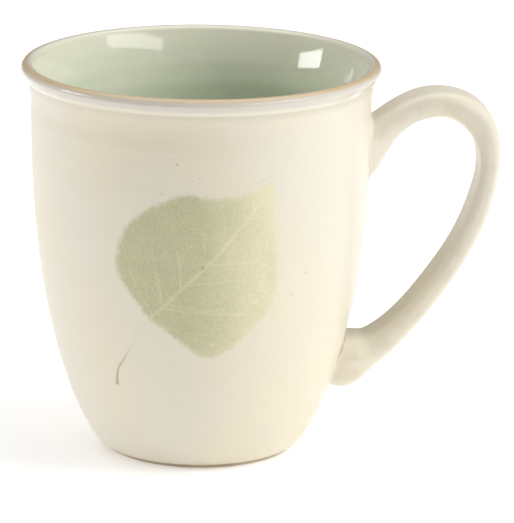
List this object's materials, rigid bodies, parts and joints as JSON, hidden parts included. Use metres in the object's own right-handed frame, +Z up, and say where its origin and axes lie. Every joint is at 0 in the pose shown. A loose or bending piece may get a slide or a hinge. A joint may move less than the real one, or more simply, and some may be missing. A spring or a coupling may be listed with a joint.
{
  "type": "stoneware mug",
  "caption": "Turned stoneware mug with a flared rolled lip, a rounded foot, a pulled strap handle and a pressed-leaf print on its front.",
  "frame": {"origin": "centre of the foot ring on the plane the mug stands on, on the mug's axis", "axes": "+Z up along the mug's axis towards the lip, +X from the axis towards the handle, -Y is the front with the leaf print"},
  "size_m": [0.1218, 0.091, 0.1],
  "materials": {
    "stoneware_clay": "bare fired stoneware, matt, fine iron specks",
    "slip": "fired joining slip, matt",
    "celadon_glaze": "glossy transparent green glaze, deeper where it pools",
    "cream_glaze": "satin cream glaze with soft mottling and iron specks",
    "lip_band_glaze": "glossy pale band where two glazes lie over each other",
    "rim_glaze": "glaze run thin over the lip, ochre brown",
    "leaf_print": "sage green leaf print in the glaze, mottled",
    "stem_print": "grey brown stem print in the glaze"
  },
  "bodies": {
    "root": {"clay_body": "stoneware_clay", "handle_strap": "stoneware_clay", "upper_slip_joint": "slip", "lower_slip_joint": "slip", "inside_glaze": "celadon_glaze", "outside_glaze": "cream_glaze", "lip_glaze_band": "lip_band_glaze", "rim_glaze": "rim_glaze", "base_glaze": "cream_glaze", "handle_glaze": "cream_glaze", "leaf_blade_print": "leaf_print", "leaf_stem_print": "stem_print"}
  },
  "joints": []
}
